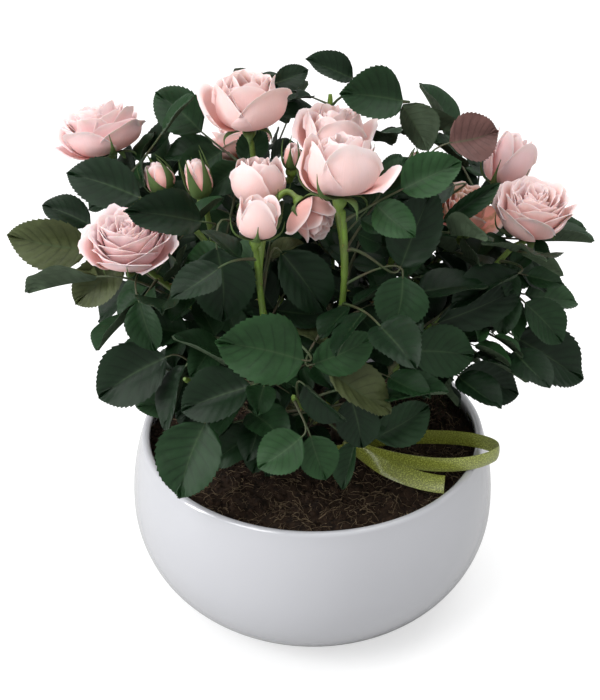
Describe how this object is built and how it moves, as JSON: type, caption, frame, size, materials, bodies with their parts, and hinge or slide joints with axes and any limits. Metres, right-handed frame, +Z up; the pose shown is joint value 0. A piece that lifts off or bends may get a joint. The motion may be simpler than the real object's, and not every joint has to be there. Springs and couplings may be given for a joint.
{
  "type": "potted rose bush",
  "caption": "Low bushy rose with pink blooms and dark leaves, growing in peat in a round glazed bowl, a satin ribbon tied round its stocks.",
  "frame": {"origin": "centre of the bowl's flat underside, on the surface it stands on", "axes": "+Z up; -Y towards the side that the plant is seen from, where the ribbon's tail lies; +X to the right of that view"},
  "size_m": [0.2968, 0.2076, 0.3051],
  "materials": {
    "glaze": "gloss white glaze",
    "peat": "rough and fibrous",
    "satin": "satin ribbon",
    "bark": "rough brown bark",
    "green_bark": "smooth green bark",
    "foliage": "semi-gloss leaves",
    "petal": "soft matt petals"
  },
  "bodies": {
    "root": {"bowl": "glaze", "cane_back_left": "green_bark", "cane_back_mid": "green_bark", "cane_back_right": "green_bark", "cane_centre_left": "green_bark", "cane_centre_right": "green_bark", "cane_front_bud": "green_bark", "cane_front_left": "green_bark", "cane_front_low": "green_bark", "cane_leafy_top": "green_bark", "cane_left_buds": "green_bark", "cane_left_high": "green_bark", "cane_left_low": "green_bark", "cane_red_shoot": "green_bark", "cane_right_back": "green_bark", "cane_right_front": "green_bark", "cane_right_low": "green_bark", "foliage_back_left": "foliage", "foliage_back_mid": "foliage", "foliage_back_right": "foliage", "foliage_centre_left": "foliage", "foliage_centre_right": "foliage", "foliage_front_bud": "foliage", "foliage_front_left": "foliage", "foliage_front_low": "foliage", "foliage_leafy_top": "foliage", "foliage_left_buds": "foliage", "foliage_left_high": "foliage", "foliage_left_low": "foliage", "foliage_red_shoot": "foliage", "foliage_right_back": "foliage", "foliage_right_front": "foliage", "foliage_right_low": "foliage", "peat": "peat", "ribbon": "satin", "rose_back_left": "petal", "rose_back_right": "petal", "rose_centre_back": "petal", "rose_centre_front": "petal", "rose_centre_left": "petal", "rose_centre_low": "petal", "rose_centre_right": "petal", "rose_front_bud": "petal", "rose_left_high": "petal", "rose_left_low": "petal", "rose_right_back": "petal", "rose_right_faded": "petal", "rose_right_front": "petal", "stock_back": "bark", "stock_front": "bark", "stock_left": "bark", "stock_right": "bark"}
  },
  "joints": []
}
